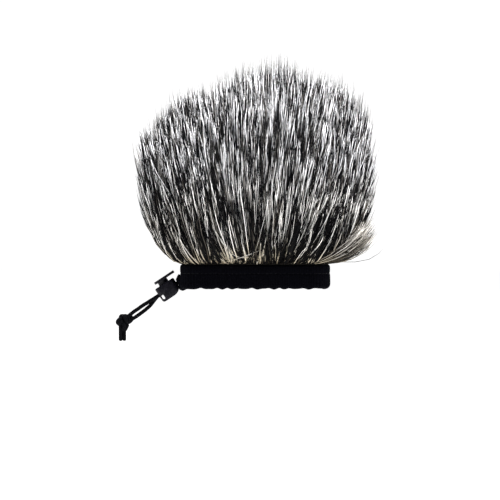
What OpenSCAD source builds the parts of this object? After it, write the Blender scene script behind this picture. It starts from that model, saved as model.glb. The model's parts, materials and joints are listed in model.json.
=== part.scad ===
// Furry windscreen for a hand-held audio recorder: a faux-fur hood with a foam liner,
// a stretch cuff with a drawcord in its hem, and a sprung cord lock.
// The origin is the centre of the cuff's mouth, on its lower rim. +Z points into the hood,
// -Y is the front, and the cord leaves the cuff at its -X end.

/* [Recorder] */
// Width of the recorder that the cuff is stretched over
recorder_w = 70; // [66:0.5:74]
// Depth of that recorder, front to back
recorder_d = 33.5; // [31:0.5:37]
// Height of the recorder's microphone head above the cuff
head_h = 45; // [42:1:50]
// Gap between the recorder and the cuff on each side
mouth_gap = 0.5; // [0.3:0.1:0.8]

/* [Cuff] */
// Height of the cuff
cuff_h = 14; // [13:0.5:16]
// Thickness of the folded casing, with the cord channel in it
cuff_t = 4.5; // [4.3:0.1:5]
// Radius of the mouth's corners, seen from below
mouth_r = 5; // [4:0.5:6]
// Height of the cord channel's stitch line above the rim
channel_top = 9.4; // [9:0.1:10]

/* [Liner] */
// Thickness of the open-cell foam liner
liner_t = 3; // [2.5:0.1:3.5]
// Radius of the pocket's upper corners, seen from the front
pocket_top_r = 12; // [10:0.5:14]
// Radius of the pocket's upper edges, seen from the side
pocket_side_r = 8; // [6:0.5:9]

/* [Fur] */
// Half width of the combed pile at its widest
fur_half_w = 65.5; // [60:0.5:70]
// Half depth of the combed pile at its deepest
fur_half_d = 46; // [42:0.5:50]
// Height of the pile's crown above the rim
fur_top = 117; // [112:1:124]

/* [Drawcord] */
// Diameter of the elastic cord
cord_d = 2; // [1.8:0.1:2.1]
// Slope of the cord where it leaves the cuff, below the horizontal
cord_slope = 33.5; // [30:0.5:36]
// Distance from the end of the exit sleeve to the middle of the knot
knot_reach = 35.8; // [34:0.1:38]
// How far the knot sags below the line of the cords at the exit
knot_sag = 1.8; // [0:0.1:2.5]
// Diameter of the knot
knot_d = 9; // [8:0.5:10]
// Length of each cord end past the middle of the knot
end_length = 10.4; // [9:0.2:12]

/* [Cord lock] */
// Length of the lock's body along the cord
lock_l = 11.6; // [11:0.1:12.5]
// Width of the body across the two cords
lock_w = 8.4; // [8:0.1:9]
// How far the plunger can be pressed in
press_travel = 1.6; // [1.2:0.1:1.7]

/* [Hidden] */
$fn = 48;

// Mouth and pocket
mouth_w = recorder_w + 2 * mouth_gap;
mouth_d = recorder_d + 2 * mouth_gap;
pocket_top = cuff_h + head_h;
liner_bottom = cuff_h + 1.1;
fur_bottom = cuff_h + 0.1;
skin_gap = 0.1;               // between the liner and the fur's backing
seam_out = liner_t + skin_gap + 0.4;  // the fur's seam thread, outside the mouth's wall
groove_gap = 0.1;             // between a seam thread and the groove it lies in
fur_thread_r = 0.5;
liner_thread_r = 0.4;
cuff_end_x = mouth_w / 2 + cuff_t;

hem_r = 2.5;
lip_r = 0.8;

// Cord channel inside the cuff: its profile is measured outwards from the mouth's wall
channel_wall = 0.95;
channel_floor = 1.2;
channel_w = cuff_t - 2 * channel_wall;
channel_h = 7;
cord_r = cord_d / 2;
cord_z = 4.7;
cord_gap_y = cord_r + 0.08;   // half the distance between the two cords in the exit and the lock

// The exit sleeve's end, where the cords leave the cuff and the toggle swings
sleeve_out = 1.4;
pivot = [-(cuff_end_x + sleeve_out), 0, 4];
sleeve_start = -3.2;
sleeve_half_h = cord_r + 1.1;
sleeve_half_w = cord_gap_y + cord_r + 1.1;
cord_start = 0.3;
entry_half_w = 4.3;           // opening from the exit sleeve into the channel
entry_low = 3.4;
exit_band_w = 0.9;            // the exit's stitches, out from the sleeve sideways and up or down
exit_band_h = 1.25;
exit_clear_w = 0.15;
exit_clear_h = 0.6;

// Cord lock, measured from the pivot along the cord (x) and along the plunger (z)
lock_x0 = 1;
lock_mid = lock_x0 + lock_l / 2;
lock_bottom = -4.7;
lock_top = 3.8;
lock_corner = 4.2;
lock_edge = 2.2;
grip = cord_r + 0.1;          // cord surface to hole edge, with its clearance
hole_half_w = cord_gap_y + cord_r + 0.2;
plunger_r = 2.9;
bore_r = plunger_r + 0.1;
floor_t = 0.7;
cap_t = 1.4;
cap_l = 12.2;
cap_shift = -1.9;             // the cap overhangs the body towards the cuff
cap_w = 7.4;
web_t = 0.8;
eye_w = 1.8;
eye_h = 2.6;
eye_wall = 0.6;
spring_wire = 0.4;
spring_turns = 3;
spring_steps = 14;            // for each turn
spring_foot_r = 2.5;
spring_head_r = 1.2;
spring_gap = 0.03;            // between the spring's ends and what they press on

// Combed pile: height above the rim, and half width and half depth as shares of the widest
pile_levels = [
    [fur_bottom, 0.72, 0.66],
    [20, 0.81, 0.77],
    [32, 0.92, 0.88],
    [48, 0.98, 0.96],
    [65, 1.00, 1.00],
    [80, 0.96, 0.98],
    [94, 0.85, 0.88],
    [fur_top - 11, 0.65, 0.70],
    [fur_top - 4, 0.40, 0.46],
    [fur_top, 0.12, 0.15]
];

// The two cords' middle lines past the pivot, as [along, across, up]. The lower one hangs in a slack bow.
upper_route = [
    [cord_start, cord_gap_y, 0], [3, cord_gap_y, 0], [6, cord_gap_y, 0], [9, cord_gap_y, 0],
    [12, cord_gap_y, 0], [14, cord_gap_y, 0], [16, 1.0, 0], [18, 0.9, 0.1], [20, 0.8, 0.1], [22, 0.7, 0.2],
    [24, 0.6, 0.2], [26, 0.5, 0.1], [28, 0.4, 0.1], [30, 0.3, 0], [32, 0.2, -0.2], [33.2, 0.2, -0.4]
];
lower_route = [
    [cord_start, -cord_gap_y, 0], [3, -cord_gap_y, 0], [6, -cord_gap_y, 0], [9, -cord_gap_y, 0],
    [12, -cord_gap_y, 0], [14, -cord_gap_y, -0.2], [16, -1.1, -0.8], [18, -1.1, -1.5], [20, -1.0, -2.1],
    [22, -0.9, -2.4], [24, -0.8, -2.6], [26, -0.6, -2.7], [28, -0.4, -2.8], [30, -0.3, -2.8],
    [32, -0.2, -2.7], [33.2, -0.2, -2.6]
];

// The loop's end that comes in through the sleeve and turns into the channel, towards the back
loop_turn = [[-2.2, 1.1, 0], [-3.3, 1.5, 0.1]];
channel_turn = [[0.3, 3.2, 5.9], [0, 5.5, 5.4], [0, 8.5, 4.9]];

function unit(v) = v / norm(v);
function turned(p) = [
    pivot.x - p.x * cos(cord_slope) - p.z * sin(cord_slope),
    pivot.y - p.y,
    pivot.z - p.x * sin(cord_slope) + p.z * cos(cord_slope)
];
function reversed(list) = [for (i = [len(list) - 1:-1:0]) list[i]];
function ring(p, along, r, sides) =
    let (side = unit(cross(along, [0, 0, 1])), up = cross(side, along))
    [for (i = [0:sides - 1]) p + r * (cos(360 * i / sides) * side + sin(360 * i / sides) * up)];
function tangent(route, i) =
    unit(route[min(i + 1, len(route) - 1)] - route[max(i - 1, 0)]);

// A round tube along a route of points
module tube(route, r, sides = 8) {
    rings = len(route);
    points = [for (i = [0:rings - 1]) each ring(route[i], tangent(route, i), r, sides)];
    walls = [
        for (i = [0:rings - 2], j = [0:sides - 1])
            let (k = (j + 1) % sides)
            [i * sides + j, (i + 1) * sides + j, (i + 1) * sides + k, i * sides + k]
    ];
    first = [for (j = [0:sides - 1]) j];
    last = [for (j = [sides - 1:-1:0]) (rings - 1) * sides + j];
    polyhedron(points, concat([first], walls, [last]));
}

// Rectangle with round corners
module round_rect(w, d, r) {
    square([w - 2 * r, d], center = true);
    square([w, d - 2 * r], center = true);
    for (x = [-1, 1], y = [-1, 1])
        translate([x * (w / 2 - r), y * (d / 2 - r)]) circle(r);
}

// Slot with round ends, long in its first direction
module slot_2d(half_w, half_h) {
    square([2 * (half_w - half_h), 2 * half_h], center = true);
    for (side = [-1, 1]) translate([side * (half_w - half_h), 0]) circle(half_h);
}

// Runs a 2D profile round the mouth. Its x is the distance outwards from the mouth's wall, and its y the height.
module round_the_mouth() {
    half_w = mouth_w / 2 - mouth_r;
    half_d = mouth_d / 2 - mouth_r;
    for (side = [0, 180]) {
        rotate(side) translate([mouth_w / 2, half_d, 0]) rotate([90, 0, 0])
            linear_extrude(2 * half_d) children();
        rotate(side + 90) translate([mouth_d / 2, half_w, 0]) rotate([90, 0, 0])
            linear_extrude(2 * half_w) children();
    }
    for (x = [-1, 1], y = [-1, 1])
        translate([x * half_w, y * half_d, 0]) rotate(x > 0 ? (y > 0 ? 0 : 270) : (y > 0 ? 90 : 180))
            rotate_extrude(angle = 90) translate([mouth_r, 0]) children();
}

// The pocket's shape, grown by a distance on every side but the bottom
module pocket(grow, bottom) {
    w = mouth_w + 2 * grow;
    d = mouth_d + 2 * grow;
    top = pocket_top + grow;
    front_r = pocket_top_r + grow;
    side_r = pocket_side_r + grow;
    intersection() {
        translate([0, 0, bottom]) linear_extrude(top - bottom) round_rect(w, d, mouth_r + grow);
        rotate([90, 0, 0]) linear_extrude(2 * d, center = true) arch_2d(w, top, front_r);
        rotate([90, 0, 90]) linear_extrude(2 * w, center = true) arch_2d(d, top, side_r);
    }
}

// Upright outline with two round top corners
module arch_2d(w, top, r) {
    translate([-w / 2, 0]) square([w, top - r]);
    translate([-w / 2 + r, 0]) square([w - 2 * r, top]);
    for (side = [-1, 1]) translate([side * (w / 2 - r), top - r]) circle(r);
}

// Thread that follows the pocket up one side, over the top and down the other, in the seam's plane
module seam_run(r, out, bottom) {
    half = mouth_w / 2 + out;
    bend = pocket_top_r + out;
    knee = pocket_top - pocket_top_r;
    for (side = [-1, 1]) {
        translate([side * half, 0, bottom]) cylinder(r = r, h = knee - bottom);
        translate([side * (half - bend), 0, knee]) rotate([90, 0, 0]) rotate(side > 0 ? 0 : 90)
            rotate_extrude(angle = 90) translate([bend, 0]) circle(r, $fn = 16);
    }
    translate([-(half - bend), 0, knee + bend]) rotate([0, 90, 0])
        cylinder(r = r, h = 2 * (half - bend));
}

// Half of a hood piece: the front one has negative y
module half_of(front) {
    intersection() {
        children();
        translate([-100, front ? -100 : 0, -50]) cube([200, 100, 250]);
    }
}

// Outer shape of the combed pile
module pile() {
    hull() for (level = pile_levels)
        translate([0, 0, level[0]]) scale([fur_half_w * level[1], fur_half_d * level[2], 1])
            cylinder(r = 1, h = 0.05, $fn = 36);
}

module fur_panel(front) {
    color([0.45, 0.44, 0.42]) half_of(front) difference() {
        pile();
        pocket(liner_t + skin_gap, 0);
        seam_run(fur_thread_r + groove_gap, seam_out, fur_bottom - 1);
    }
}

module fur_seam_thread() {
    color([0.12, 0.12, 0.12]) seam_run(fur_thread_r, seam_out, fur_bottom + 1);
}

module liner_half(front) {
    color([0.16, 0.16, 0.17]) half_of(front) difference() {
        pocket(liner_t, liner_bottom);
        pocket(0, 0);
        seam_run(liner_thread_r + groove_gap, liner_t / 2, liner_bottom - 1);
    }
}

module liner_seam_thread() {
    color([0.12, 0.12, 0.12]) seam_run(liner_thread_r, liner_t / 2, liner_bottom + 1);
}

// The folded casing's section: soft round edges, with the cord channel through it
module casing_section() {
    difference() {
        union() {
            translate([0, hem_r]) square([cuff_t, cuff_h - hem_r - lip_r]);
            translate([lip_r, 0]) square([cuff_t - hem_r - lip_r, cuff_h]);
            translate([0, lip_r]) square([lip_r, cuff_h - 2 * lip_r]);
            translate([cuff_t - hem_r, cuff_h - lip_r]) square([hem_r - lip_r, lip_r]);
            translate([cuff_t - hem_r, hem_r]) circle(hem_r);
            for (x = [lip_r, cuff_t - lip_r]) translate([x, cuff_h - lip_r]) circle(lip_r);
            translate([lip_r, lip_r]) circle(lip_r);
        }
        translate([channel_wall, channel_floor]) square([channel_w, channel_h]);
        translate([cuff_t - 0.3, channel_top - 0.35]) square([1, 0.7]);
    }
}

// Places things on the cord: x runs outwards along it, z towards the plunger's cap
module on_cord() {
    translate(pivot) rotate([0, -cord_slope, 0]) rotate([0, 0, 180]) children();
}

module exit_slot(half_w, half_h, from, to) {
    on_cord() translate([from, 0, 0]) rotate([90, 0, 90]) linear_extrude(to - from)
        slot_2d(half_w, half_h);
}

module cuff_casing() {
    color([0.03, 0.03, 0.035]) difference() {
        union() {
            round_the_mouth() casing_section();
            intersection() {
                exit_slot(sleeve_half_w, sleeve_half_h, sleeve_start, 0);
                translate([-60, -10, -10]) cube([60 - mouth_w / 2 - cuff_t + 0.5, 20, 20]);
            }
        }
        exit_slot(cord_gap_y + cord_r + 0.15, cord_r + 0.15, sleeve_start - 1.2, 1);
        translate([-cuff_end_x + 0.6, -entry_half_w, entry_low])
            cube([channel_w, 2 * entry_half_w, channel_floor + channel_h - entry_low]);
    }
}

module cuff_join_overlock() {
    color([0.10, 0.10, 0.10]) round_the_mouth()
        translate([0.1, cuff_h + 0.05]) square([liner_t - 0.2, 1]);
}

module cuff_channel_stitching() {
    color([0.05, 0.05, 0.05]) round_the_mouth()
        translate([cuff_t - 0.25, channel_top - 0.25]) square([0.45, 0.5]);
}

// The seam that closes the casing's strip into a ring, on the end away from the cord
module cuff_ring_seam() {
    color([0.05, 0.05, 0.05]) for (y = [-0.6, 0.6])
        translate([cuff_end_x + 0.08, y, hem_r + 0.3]) cylinder(r = 0.25, h = cuff_h - hem_r - lip_r - 0.6);
}

// Satin stitches that bind the cord's exit, lying on the cuff's end
module cord_exit_stitching() {
    exit_z = pivot.z + sleeve_out * tan(cord_slope);
    color([0.05, 0.05, 0.05]) translate([-cuff_end_x - 0.5, 0, exit_z]) rotate([90, 0, 90])
        linear_extrude(0.45) difference() {
            slot_2d(sleeve_half_w + exit_band_w, sleeve_half_h + exit_band_h);
            slot_2d(sleeve_half_w + exit_clear_w, sleeve_half_h + exit_clear_h);
        }
}

// The cord in the cuff: in at the sleeve, once round the channel, and out again beside itself
function loop_route() =
    let (
        half_x = mouth_w / 2 - mouth_r,
        half_y = mouth_d / 2 - mouth_r,
        bend = mouth_r + cuff_t / 2,
        corner = function(cx, cy, start)
            [for (a = [0:22.5:90]) [cx + bend * cos(start - a), cy + bend * sin(start - a), cord_z]],
        side = function(from, to, steps)
            [for (i = [1:steps]) from + (to - from) * i / (steps + 1)],
        centre_x = half_x + bend,
        centre_y = half_y + bend,
        way_in = concat(
            [for (p = [[-cord_start, cord_gap_y, 0], loop_turn[0], loop_turn[1]])
                turned([p.x, -p.y, p.z])],
            [for (p = channel_turn) [-centre_x - p.x, p.y, p.z]]
        ),
        rear = side([-half_x, centre_y, cord_z], [half_x, centre_y, cord_z], 8),
        right = side([centre_x, half_y, cord_z], [centre_x, -half_y, cord_z], 2),
        front = side([half_x, -centre_y, cord_z], [-half_x, -centre_y, cord_z], 8),
        way_out = [for (p = reversed(way_in)) [p.x, -p.y, p.z]]
    )
    concat(
        way_in, corner(-half_x, half_y, 180), rear, corner(half_x, half_y, 90), right,
        corner(half_x, -half_y, 0), front, corner(-half_x, -half_y, 270), way_out
    );

module drawcord_loop() {
    color([0.04, 0.04, 0.04]) tube(loop_route(), cord_r);
}

module drawcord_strand(route) {
    color([0.04, 0.04, 0.04]) tube([for (p = route) turned(p)], cord_r);
}

knot_at = turned([knot_reach, 0, -knot_sag]);

module drawcord_knot() {
    color([0.04, 0.04, 0.04]) translate(knot_at) sphere(knot_d / 2);
}

// The two cord ends hang out of the knot side by side, one a little in front of the other
end_gap_x = 1.9;
end_gap_y = 1;
end_shift = -1.4;             // both leave the knot on its outer side
end_start = 2;                // below the knot's middle

module drawcord_end(side) {
    from_knot = [side * end_gap_x / 2 + end_shift, side * end_gap_y / 2, -end_start];
    color([0.04, 0.04, 0.04]) translate(knot_at + from_knot)
        mirror([0, 0, 1]) cylinder(r = cord_r, h = end_length - end_start);
}

// The body's outer shape: round-cornered in plan, with large soft corners at its foot
module lock_shell() {
    intersection() {
        translate([lock_mid, 0, lock_bottom]) linear_extrude(lock_top - lock_bottom)
            round_rect(lock_l, lock_w, lock_edge);
        translate([lock_mid, 0, 0]) rotate([90, 0, 0]) linear_extrude(lock_w + 2, center = true)
            lock_side_2d();
    }
}

// Seen from the front: a large soft corner towards the cuff, small ones elsewhere
module lock_side_2d() {
    half = lock_l / 2;
    foot = 1.6;
    shoulder = 0.8;
    translate([-half, lock_bottom + lock_corner])
        square([lock_l, lock_top - lock_bottom - lock_corner - shoulder]);
    translate([-half + lock_corner, lock_bottom]) square([lock_l - lock_corner - foot, lock_corner]);
    translate([half - foot - 0.1, lock_bottom + foot]) square([foot + 0.1, lock_corner - foot]);
    translate([-half + shoulder, lock_top - shoulder - 0.1]) square([lock_l - 2 * shoulder, shoulder + 0.1]);
    translate([-half + lock_corner, lock_bottom + lock_corner]) circle(lock_corner);
    translate([half - foot, lock_bottom + foot]) circle(foot);
    for (side = [-1, 1]) translate([side * (half - shoulder), lock_top - shoulder]) circle(shoulder);
}

// The opening that the two cords pass through, between two heights
module cord_hole(low, high, length) {
    translate([lock_mid, 0, (low + high) / 2]) rotate([90, 0, 90])
        linear_extrude(length, center = true) round_rect(2 * hole_half_w, high - low, 0.9);
}

module cord_lock_body() {
    color([0.05, 0.05, 0.055]) on_cord() difference() {
        lock_shell();
        translate([lock_mid, 0, lock_bottom + floor_t])
            cylinder(r = bore_r, h = lock_top - lock_bottom);
        cord_hole(-grip - press_travel, grip, lock_l + 2);
        translate([lock_x0 + lock_l - eye_wall - eye_w / 2, 0, -grip - eye_h / 2 + 0.3])
            rotate([90, 0, 0]) linear_extrude(lock_w + 2, center = true) round_rect(eye_w, eye_h, 0.7);
    }
}

module cord_lock_plunger() {
    cap_z = lock_top + press_travel + 0.3;
    color([0.04, 0.04, 0.045]) on_cord() difference() {
        union() {
            translate([lock_mid, 0, -grip - web_t]) cylinder(r = plunger_r, h = cap_z + grip + web_t + 0.2);
            translate([lock_mid + cap_shift, 0, cap_z]) linear_extrude(cap_t) round_rect(cap_l, cap_w, 2);
        }
        cord_hole(-grip, grip + press_travel, 3 * plunger_r);
    }
}

// Conical spring: its turns nest when it is pressed flat
module cord_lock_spring() {
    foot_z = lock_bottom + floor_t + spring_wire / 2 + spring_gap;
    head_z = -grip - web_t - spring_wire / 2 - spring_gap;
    steps = spring_steps * spring_turns;
    route = [
        for (i = [0:steps])
            let (
                share = i / steps,
                a = 360 * spring_turns * share,
                r = spring_foot_r + (spring_head_r - spring_foot_r) * share
            )
            [lock_mid + r * cos(a), r * sin(a), foot_z + (head_z - foot_z) * share]
    ];
    color([0.6, 0.6, 0.62]) on_cord() tube(route, spring_wire / 2, 6);
}

fur_panel(true);  // fur_front_panel
fur_panel(false);  // fur_back_panel
fur_seam_thread();
liner_half(true);  // liner_front
liner_half(false);  // liner_back
liner_seam_thread();
cuff_casing();
cuff_join_overlock();
cuff_channel_stitching();
cuff_ring_seam();
cord_exit_stitching();
drawcord_loop();
drawcord_strand(upper_route);  // drawcord_strand_upper
drawcord_strand(lower_route);  // drawcord_strand_lower
drawcord_knot();
drawcord_end(-1);  // drawcord_end_front
drawcord_end(1);  // drawcord_end_rear
cord_lock_body();
cord_lock_spring();
cord_lock_plunger();
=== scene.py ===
# %% [markdown]
# # A furry windscreen for a hand-held recorder
#
# The real object is a small hood of long grey faux fur on a knitted backing. It has a foam
# liner, a black stretch cuff that grips the recorder, and an elastic drawcord in the cuff's
# hem with a sprung cord lock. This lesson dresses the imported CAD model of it: the CAD gives
# every size and place, and the cells below give the cloth, fur, cord and plastic their looks.

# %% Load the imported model
import json
import math

import bpy
import numpy as np
from mathutils import Matrix, Vector, kdtree


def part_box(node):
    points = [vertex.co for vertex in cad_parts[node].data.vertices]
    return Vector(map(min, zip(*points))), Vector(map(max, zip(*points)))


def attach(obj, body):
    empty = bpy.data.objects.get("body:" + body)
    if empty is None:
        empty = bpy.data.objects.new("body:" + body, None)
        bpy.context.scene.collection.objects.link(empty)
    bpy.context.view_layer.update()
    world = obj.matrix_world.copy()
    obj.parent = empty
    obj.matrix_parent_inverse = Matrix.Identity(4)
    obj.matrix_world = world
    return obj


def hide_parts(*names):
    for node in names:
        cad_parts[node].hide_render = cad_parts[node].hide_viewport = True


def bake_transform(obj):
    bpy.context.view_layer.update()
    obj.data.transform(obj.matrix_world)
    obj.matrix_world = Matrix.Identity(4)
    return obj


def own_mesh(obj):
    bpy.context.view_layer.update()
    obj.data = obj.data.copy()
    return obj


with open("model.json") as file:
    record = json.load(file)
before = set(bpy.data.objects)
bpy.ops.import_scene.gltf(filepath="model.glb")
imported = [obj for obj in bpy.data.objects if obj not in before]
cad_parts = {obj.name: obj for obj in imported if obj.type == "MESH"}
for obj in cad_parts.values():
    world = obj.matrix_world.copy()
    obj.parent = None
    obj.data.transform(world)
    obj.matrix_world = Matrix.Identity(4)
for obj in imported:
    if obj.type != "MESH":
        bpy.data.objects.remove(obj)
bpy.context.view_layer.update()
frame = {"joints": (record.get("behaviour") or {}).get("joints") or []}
MM = 0.001

# %% [markdown]
# ## The sizes that everything is built on
#
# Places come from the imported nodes' boxes and the joints. The liner's outside is a foam
# thickness larger than the mouth on every side, so the mouth's size follows from it.

# %% Read the sizes
LINER_T = 3 * MM
BACKING_GAP = 0.1 * MM
liner_low, liner_high = [Vector(c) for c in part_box("liner_front")]
fur_low, _ = [Vector(c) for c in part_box("fur_front_panel")]
_, cuff_high = [Vector(c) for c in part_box("cuff_casing")]
MOUTH_HALF_W = liner_high.x - LINER_T
MOUTH_HALF_D = -liner_low.y - LINER_T
MOUTH_R = 5 * MM
CUFF_T = cuff_high.x - MOUTH_HALF_W
FUR_BOTTOM = fur_low.z
LINER_TOP = liner_high.z
swing = next(j for j in frame["joints"] if j["name"] == "cord_swing")
PIVOT = Vector(swing["pos_m"])
print("mouth", MOUTH_HALF_W / MM, MOUTH_HALF_D / MM, "cuff", cuff_high.z / MM, CUFF_T / MM)
print("the cord swings about", PIVOT)

# %% [markdown]
# ## The camera
#
# A long lens from the front, nearly level with the fur, keeps the hood's outline undistorted.

# %% Place the camera
LOOK_AT = Vector((-2.7 * MM, 0, 21.5 * MM))
CAMERA_FAR = 0.9
CAMERA_RISE = math.radians(1)
camera_data = bpy.data.cameras.new("camera")
camera_data.sensor_width = 36
camera_data.lens = 120
camera = bpy.data.objects.new("camera", camera_data)
bpy.context.scene.collection.objects.link(camera)
camera.location = LOOK_AT + CAMERA_FAR * Vector((0, -math.cos(CAMERA_RISE), math.sin(CAMERA_RISE)))
camera.rotation_euler = (LOOK_AT - camera.location).to_track_quat("-Z", "Y").to_euler()
bpy.context.scene.camera = camera
print("the camera stands", CAMERA_FAR / MM, "mm away, with a lens of", camera_data.lens, "mm")

# %% [markdown]
# ## Small helpers for modelling
#
# Every piece is made the same way: nothing selected, one primitive added, its mesh shaped in
# edit mode, and the result kept with a name, a body to ride on, a finish and a material.

# %% Define the modelling helpers
def clear_selection():
    """Leave edit mode and select nothing."""
    if bpy.context.object and bpy.context.object.mode != "OBJECT":
        bpy.ops.object.mode_set(mode="OBJECT")
    bpy.ops.object.select_all(action="DESELECT")
    bpy.context.view_layer.objects.active = None


def edit_all():
    """Open the active object's mesh with everything selected."""
    bpy.ops.object.mode_set(mode="EDIT")
    bpy.ops.mesh.select_all(action="SELECT")


def leave_edit():
    """Close the mesh again."""
    bpy.ops.object.mode_set(mode="OBJECT")


def turn_outwards():
    """Recalculate the active mesh's normals."""
    edit_all()
    bpy.ops.mesh.normals_make_consistent(inside=False)
    leave_edit()


def select_in_edit(piece, kind, test):
    """In edit mode, select the edges or faces that pass a test."""
    bpy.ops.mesh.select_mode(type=kind)
    bpy.ops.mesh.select_all(action="DESELECT")
    leave_edit()
    mesh = piece.data
    for part in {"EDGE": mesh.edges, "FACE": mesh.polygons}[kind]:
        part.select = test(part, mesh)
    bpy.ops.object.mode_set(mode="EDIT")


def edge_ends(edge, mesh):
    """The two ends of an edge."""
    return [mesh.vertices[i].co for i in edge.vertices]


def is_upright(edge, mesh):
    """Whether an edge runs up and down."""
    a, b = edge_ends(edge, mesh)
    return abs(a.z - b.z) > 5 * MM and (a.xy - b.xy).length < 0.01 * MM


def longer_than(limit):
    """A test that passes edges over a length."""
    def is_long(edge, mesh):
        a, b = edge_ends(edge, mesh)
        return (a - b).length > limit
    return is_long


def finish_with(piece, kind, **values):
    """Add a modifier, set it and apply it."""
    modifier = piece.modifiers.new(kind.lower(), kind)
    for key, value in values.items():
        setattr(modifier, key, value)
    bpy.context.view_layer.objects.active = piece
    piece.select_set(True)
    bpy.ops.object.modifier_apply(modifier=modifier.name)


def new_piece(name, mesh):
    """An object in the scene that holds a mesh."""
    piece = bpy.data.objects.new(name, mesh)
    bpy.context.scene.collection.objects.link(piece)
    return piece


def triangle_count(piece):
    """How many triangles a mesh has."""
    return sum(len(face.vertices) - 2 for face in piece.data.polygons)


def keep(piece, name, material, body="hood", replaces=()):
    """Name a finished piece, paint it and let it ride on its body, if it has just one."""
    piece.name = name
    piece.data.name = name
    piece.data.materials.clear()
    piece.data.materials.append(material)
    if body:
        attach(piece, body)
    if replaces:
        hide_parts(*replaces)
    print(name, triangle_count(piece), "triangles")
    return piece

# %% [markdown]
# ## Small helpers for lines
#
# Seams, cords and the cuff all follow lines of points. These helpers measure such a line, cut it at even
# places, and smooth a few given points into a curve.

# %% Define the line helpers
def unit(vectors):
    """Each vector at length one."""
    return vectors / np.maximum(np.linalg.norm(vectors, axis=-1, keepdims=True), 1e-12)


def gone_along(line):
    """The length from a line's start to each of its points."""
    return np.concatenate([[0], np.cumsum(np.linalg.norm(np.diff(line, axis=0), axis=1))])


def cut_at(line, gone, places):
    """The points of a line at given lengths from its start."""
    return np.stack([np.interp(places, gone, line[:, k]) for k in range(3)], axis=1)


def rounded(points, step):
    """A smooth line through points (Catmull-Rom), cut into even steps."""
    points = [np.array(p, float) for p in points]
    ends = [2 * points[0] - points[1], *points, 2 * points[-1] - points[-2]]
    fine = []
    for a, b, c, d in zip(ends, ends[1:], ends[2:], ends[3:]):
        for t in np.linspace(0, 1, 12, endpoint=False):
            bend, twist = 2 * a - 5 * b + 4 * c - d, 3 * b - a - 3 * c + d
            fine.append(0.5 * (2 * b + (c - a) * t + bend * t**2 + twist * t**3))
    fine = np.array([*fine, points[-1]])
    gone = gone_along(fine)
    return cut_at(fine, gone, np.linspace(0, gone[-1], max(3, round(gone[-1] / step) + 1)))


def steady_frames(line):
    """At each point of a line, two directions across it that don't twist."""
    ahead = unit(np.gradient(line, axis=0))
    side = np.cross(ahead[0], [0.1, 0.9, 0.3])
    sides = []
    for direction in ahead:
        side = side - direction * (side @ direction)
        side = side / np.linalg.norm(side)
        sides.append(side)
    return np.array(sides), np.cross(ahead, sides)

# %% [markdown]
# ## Small helpers for materials
#
# A finish is mostly a pattern that does two jobs: it picks a tone from a ramp, and it lifts the
# surface a little. These helpers make a pattern, a ramp and a bump, and wire them up.

# %% Define the material helpers
def new_material(name, roughness, specular):
    """A material with a Principled shader, and its node tree's handy parts."""
    material = bpy.data.materials.new(name)
    material.use_nodes = True
    tree = material.node_tree
    shader = tree.nodes["Principled BSDF"]
    shader.inputs["Roughness"].default_value = roughness
    shader.inputs["Specular IOR Level"].default_value = specular
    return material, tree, shader


def add_node(tree, kind, **values):
    """Add a node and set its properties and its named inputs, which start with in_."""
    node = tree.nodes.new(kind)
    for key, value in values.items():
        if key.startswith("in_"):
            node.inputs[key[3:].replace("_", " ")].default_value = value
        else:
            setattr(node, key, value)
    return node


def pattern(tree, kind, where, **values):
    """A texture node that reads the given coordinates."""
    node = add_node(tree, kind, **values)
    tree.links.new(where, node.inputs["Vector"])
    return node


def colour_ramp(tree, source, stops):
    """The colour that a value picks from (place, colour) stops."""
    ramp = tree.nodes.new("ShaderNodeValToRGB")
    elements = ramp.color_ramp.elements
    while len(elements) < len(stops):
        elements.new(0.5)
    for element, (place, colour) in zip(elements, stops):
        element.position = place
        element.color = (*colour, 1)
    tree.links.new(source, ramp.inputs["Fac"])
    return ramp.outputs["Color"]


def colour_by(tree, shader, source, stops):
    """Let a value pick the surface's colour from (place, colour) stops."""
    tree.links.new(colour_ramp(tree, source, stops), shader.inputs["Base Color"])


def multiplied(tree, first, second, share=1.0):
    """Two colours multiplied, the second with the given share."""
    mixed = add_node(tree, "ShaderNodeMix", data_type="RGBA", blend_type="MULTIPLY")
    mixed.inputs["Factor"].default_value = share
    tree.links.new(first, mixed.inputs["A"])
    tree.links.new(second, mixed.inputs["B"])
    return mixed.outputs["Result"]


def raise_surface(tree, shader, height, strength, distance, invert=False):
    """Let a pattern stand up from the surface, or sink into it."""
    bump = add_node(tree, "ShaderNodeBump", in_Strength=strength, in_Distance=distance, invert=invert)
    tree.links.new(height, bump.inputs["Height"])
    tree.links.new(bump.outputs["Normal"], shader.inputs["Normal"])

# %% [markdown]
# ## The elastic drawcord outside the cuff
#
# A drawcord like this is a rubber core in a tight braid of 2 mm outside diameter. Its two
# strands leave the cuff side by side, run through the lock, and end in an overhand knot. A
# bevelled curve would give a plain tube, so the cord is swept as a mesh: rings of points follow
# the route, and the braid's crossing yarns lift the surface in small diamonds.

# %% Sweep a braided tube
CORD_R = 1.0 * MM
BRAID = 0.07 * MM
YARNS = 5
YARN_PITCH = 1.1 * MM


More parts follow.
